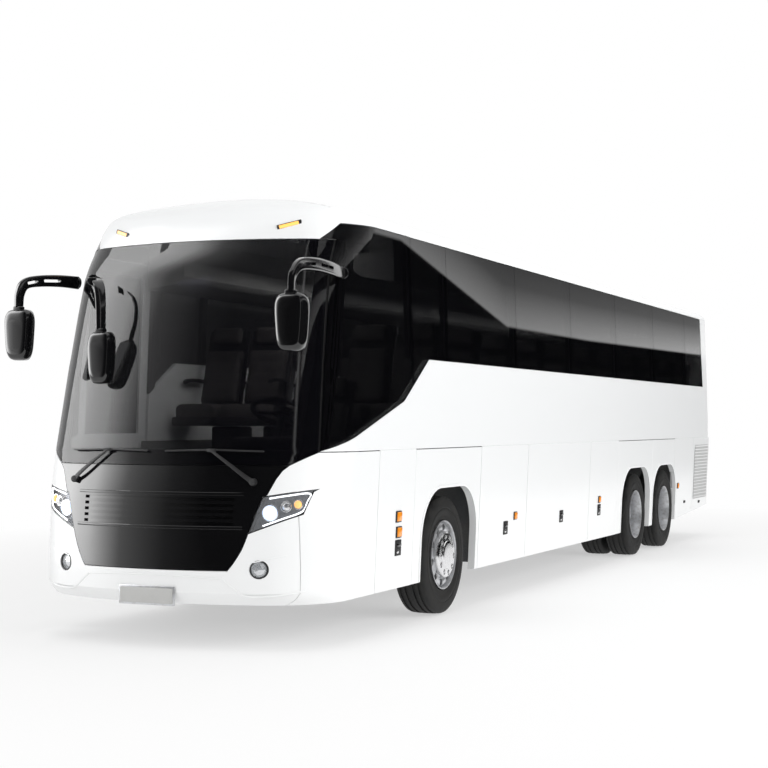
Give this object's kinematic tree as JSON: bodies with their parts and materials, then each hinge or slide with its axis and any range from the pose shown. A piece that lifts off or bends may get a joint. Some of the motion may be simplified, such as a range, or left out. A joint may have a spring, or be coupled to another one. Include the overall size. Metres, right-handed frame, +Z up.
{
  "type": "three-axle touring coach",
  "caption": "White three-axle touring coach with dark wraparound glazing, luggage bays under a high floor, twin drive wheels, opening doors, flaps and hatches, and steered front wheels",
  "frame": {"origin": "middle of the bounding box, mirrors included, on the ground", "axes": "+X forward, +Y the vehicle's left, +Z up"},
  "size_m": [14.12, 2.93, 3.455],
  "materials": {
    "body_paint": "clean gloss white coachwork paint",
    "tinted_glass": "dark tinted bonded glazing, gloss outside",
    "gloss_black": "deep gloss black panel",
    "matte_black": "fine-grained matte black plastic",
    "lamp_lens": "clear lamp cover over bright reflectors",
    "tail_lens": "red and amber ribbed lamp cover",
    "floor_covering": "hard-wearing grey floor covering",
    "seat_leather": "dark stitched seat covering with channels",
    "rack_plastic": "pale grey moulded rack panels",
    "chassis_paint": "satin dark grey chassis paint",
    "engine_metal": "rough grey engine casting",
    "bellows_rubber": "matte black moulded rubber",
    "wheel_silver": "silver wheel enamel, satin",
    "tyre_rubber": "matte black ribbed tyre rubber"
  },
  "bodies": {
    "coach": {"air_bellows": "bellows_rubber", "chassis_frame": "chassis_paint", "dashboard": "matte_black", "drive_axle": "chassis_paint", "engine": "engine_metal", "front_axle": "chassis_paint", "front_cap": "body_paint", "front_corners": "body_paint", "front_fascia": "body_paint", "front_lamps": "lamp_lens", "front_mask": "gloss_black", "luggage_bay": "floor_covering", "mirrors": "gloss_black", "overhead_racks": "rack_plastic", "rear_bumper": "body_paint", "rear_wall": "body_paint", "rear_window": "tinted_glass", "roof": "body_paint", "saloon_floor": "floor_covering", "seats": "seat_leather", "side_walls": "body_paint", "side_windows": "tinted_glass", "skirt_panels": "body_paint", "tag_axle": "chassis_paint", "tail_lamps": "tail_lens", "window_pillars": "matte_black", "windscreen": "tinted_glass", "wipers": "matte_black"},
    "luggage_flap_left_1": {"luggage_flap_left_1": "body_paint"},
    "luggage_flap_left_2": {"luggage_flap_left_2": "body_paint"},
    "luggage_flap_left_3": {"luggage_flap_left_3": "body_paint"},
    "luggage_flap_right_1": {"luggage_flap_right_1": "body_paint"},
    "luggage_flap_right_2": {"luggage_flap_right_2": "body_paint"},
    "locker_flap_left": {"locker_flap_left": "body_paint"},
    "rear_locker_left": {"rear_locker_left": "body_paint"},
    "rear_locker_right": {"rear_locker_right": "body_paint"},
    "engine_flap_left": {"engine_flap_left": "body_paint"},
    "engine_flap_right": {"engine_flap_right": "body_paint"},
    "engine_hatch": {"engine_hatch": "body_paint"},
    "front_door": {"front_door": "body_paint", "front_door_glass": "tinted_glass"},
    "middle_door": {"middle_door": "body_paint", "middle_door_glass": "tinted_glass"},
    "roof_hatch_front": {"roof_hatch_front": "matte_black"},
    "roof_hatch_rear": {"roof_hatch_rear": "matte_black"},
    "knuckle_left": {"knuckle_left": "chassis_paint"},
    "knuckle_right": {"knuckle_right": "chassis_paint"},
    "front_wheel_left": {"front_rim_left": "wheel_silver", "front_tyre_left": "tyre_rubber"},
    "drive_wheels_left": {"drive_rims_left": "wheel_silver", "drive_tyres_left": "tyre_rubber"},
    "tag_wheel_left": {"tag_rim_left": "wheel_silver", "tag_tyre_left": "tyre_rubber"},
    "front_wheel_right": {"front_rim_right": "wheel_silver", "front_tyre_right": "tyre_rubber"},
    "drive_wheels_right": {"drive_rims_right": "wheel_silver", "drive_tyres_right": "tyre_rubber"},
    "tag_wheel_right": {"tag_rim_right": "wheel_silver", "tag_tyre_right": "tyre_rubber"}
  },
  "joints": [
    {"name": "luggage_flap_left_1_hinge", "type": "hinge", "parent": "coach", "child": "luggage_flap_left_1", "pos_m": [2.336, 1.27, 1.4257], "axis": [1, 0, 0], "range_deg": [0, 85]},
    {"name": "luggage_flap_left_2_hinge", "type": "hinge", "parent": "coach", "child": "luggage_flap_left_2", "pos_m": [0.543, 1.27, 1.4257], "axis": [1, 0, 0], "range_deg": [0, 85]},
    {"name": "luggage_flap_left_3_hinge", "type": "hinge", "parent": "coach", "child": "luggage_flap_left_3", "pos_m": [-1.166, 1.27, 1.4257], "axis": [1, 0, 0], "range_deg": [0, 85]},
    {"name": "luggage_flap_right_1_hinge", "type": "hinge", "parent": "coach", "child": "luggage_flap_right_1", "pos_m": [2.336, -1.27, 1.4257], "axis": [-1, 0, 0], "range_deg": [0, 85]},
    {"name": "luggage_flap_right_2_hinge", "type": "hinge", "parent": "coach", "child": "luggage_flap_right_2", "pos_m": [0.543, -1.27, 1.4257], "axis": [-1, 0, 0], "range_deg": [0, 85]},
    {"name": "locker_flap_left_hinge", "type": "hinge", "parent": "coach", "child": "locker_flap_left", "pos_m": [4.962, 1.27, 1.4257], "axis": [1, 0, 0], "range_deg": [0, 85]},
    {"name": "rear_locker_left_hinge", "type": "hinge", "parent": "coach", "child": "rear_locker_left", "pos_m": [-5.276, 1.27, 1.4257], "axis": [1, 0, 0], "range_deg": [0, 85]},
    {"name": "rear_locker_right_hinge", "type": "hinge", "parent": "coach", "child": "rear_locker_right", "pos_m": [-5.276, -1.27, 1.4257], "axis": [-1, 0, 0], "range_deg": [0, 85]},
    {"name": "engine_flap_left_hinge", "type": "hinge", "parent": "coach", "child": "engine_flap_left", "pos_m": [-6.376, 1.27, 1.4257], "axis": [1, 0, 0], "range_deg": [0, 85]},
    {"name": "engine_flap_right_hinge", "type": "hinge", "parent": "coach", "child": "engine_flap_right", "pos_m": [-6.376, -1.27, 1.4257], "axis": [-1, 0, 0], "range_deg": [0, 85]},
    {"name": "engine_hatch_hinge", "type": "hinge", "parent": "coach", "child": "engine_hatch", "pos_m": [-7.052, 0, 1.5677], "axis": [0, 1, 0], "range_deg": [0, 80]},
    {"name": "front_door_hinge", "type": "hinge", "parent": "coach", "child": "front_door", "pos_m": [5.7487, -1.267, 1.427], "axis": [0, 0, 1], "range_deg": [0, 90]},
    {"name": "middle_door_hinge", "type": "hinge", "parent": "coach", "child": "middle_door", "pos_m": [-0.7523, -1.267, 1.427], "axis": [0, 0, 1], "range_deg": [0, 90]},
    {"name": "roof_hatch_front_hinge", "type": "hinge", "parent": "coach", "child": "roof_hatch_front", "pos_m": [2.778, 0, 3.4253], "axis": [0, 1, 0], "range_deg": [0, 90]},
    {"name": "roof_hatch_rear_hinge", "type": "hinge", "parent": "coach", "child": "roof_hatch_rear", "pos_m": [-4.022, 0, 3.4253], "axis": [0, 1, 0], "range_deg": [0, 90]},
    {"name": "steer_left", "type": "hinge", "parent": "coach", "child": "knuckle_left", "pos_m": [3.843, 0.905, 0.512], "axis": [0, 0, 1], "range_deg": [-45, 45]},
    {"name": "steer_right", "type": "hinge", "parent": "coach", "child": "knuckle_right", "pos_m": [3.843, -0.905, 0.512], "axis": [0, 0, 1], "range_deg": [-45, 45]},
    {"name": "front_wheel_left_spin", "type": "hinge", "parent": "knuckle_left", "child": "front_wheel_left", "pos_m": [3.843, 1.0875, 0.512], "axis": [0, 1, 0], "continuous": true},
    {"name": "drive_wheels_left_spin", "type": "hinge", "parent": "coach", "child": "drive_wheels_left", "pos_m": [-2.737, 0.92, 0.512], "axis": [0, 1, 0], "continuous": true},
    {"name": "tag_wheel_left_spin", "type": "hinge", "parent": "coach", "child": "tag_wheel_left", "pos_m": [-4.231, 1.0875, 0.512], "axis": [0, 1, 0], "continuous": true},
    {"name": "front_wheel_right_spin", "type": "hinge", "parent": "knuckle_right", "child": "front_wheel_right", "pos_m": [3.843, -1.0875, 0.512], "axis": [0, 1, 0], "continuous": true},
    {"name": "drive_wheels_right_spin", "type": "hinge", "parent": "coach", "child": "drive_wheels_right", "pos_m": [-2.737, -0.92, 0.512], "axis": [0, 1, 0], "continuous": true},
    {"name": "tag_wheel_right_spin", "type": "hinge", "parent": "coach", "child": "tag_wheel_right", "pos_m": [-4.231, -1.0875, 0.512], "axis": [0, 1, 0], "continuous": true}
  ],
  "couplings": [
    {"joint": "steer_right", "follows": "steer_left", "ratio": 1}
  ]
}
